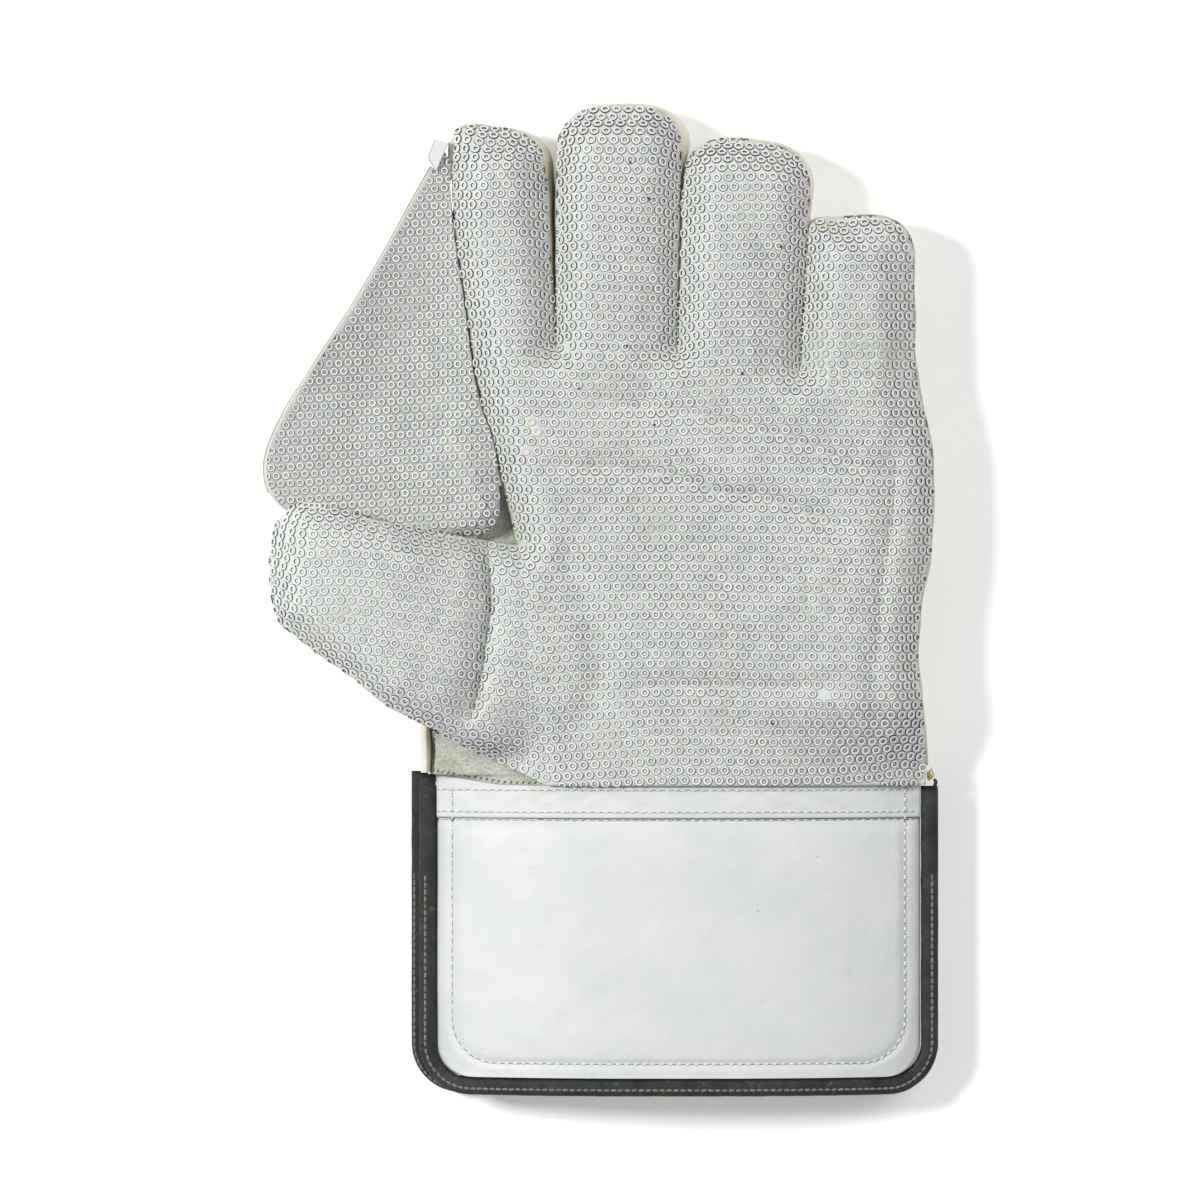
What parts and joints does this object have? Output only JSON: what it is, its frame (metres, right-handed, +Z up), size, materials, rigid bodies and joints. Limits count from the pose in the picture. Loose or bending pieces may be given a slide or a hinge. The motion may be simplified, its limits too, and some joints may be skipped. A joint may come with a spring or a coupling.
{
  "type": "wicketkeeping glove, left hand",
  "caption": "Wicketkeeping glove with a pimpled rubber palm, a catching web, leather finger backs and a padded white cuff with dark bindings.",
  "frame": {"origin": "middle of the glove's footprint, on the surface it rests on", "axes": "+Z up out of the palm, +Y towards the fingertips, +X towards the little finger"},
  "size_m": [0.2246, 0.329, 0.0478],
  "materials": {
    "rubber": "matt grey rubber with small raised rings",
    "beige_leather": "soft beige leather",
    "suede": "beige suede",
    "white_leather": "smooth white leather",
    "binding": "dark grey binding tape, stitched"
  },
  "bodies": {
    "root": {"palm_face": "rubber", "web_face": "rubber", "web_backing": "white_leather", "web_tab": "white_leather", "index_side_wall": "beige_leather", "fourchette_index_middle": "beige_leather", "fourchette_middle_ring": "beige_leather", "fourchette_ring_little": "beige_leather", "outer_side_wall": "beige_leather", "thumb_wall": "beige_leather", "back_hand": "beige_leather", "finger_back_index": "beige_leather", "finger_back_middle": "beige_leather", "finger_back_ring": "beige_leather", "finger_back_little": "beige_leather", "thumb_back": "beige_leather", "crotch_gusset": "suede", "wrist_gusset": "suede", "cuff_front": "white_leather", "cuff_band": "white_leather", "cuff_back": "white_leather", "binding_front": "binding", "binding_back": "binding"}
  },
  "joints": []
}
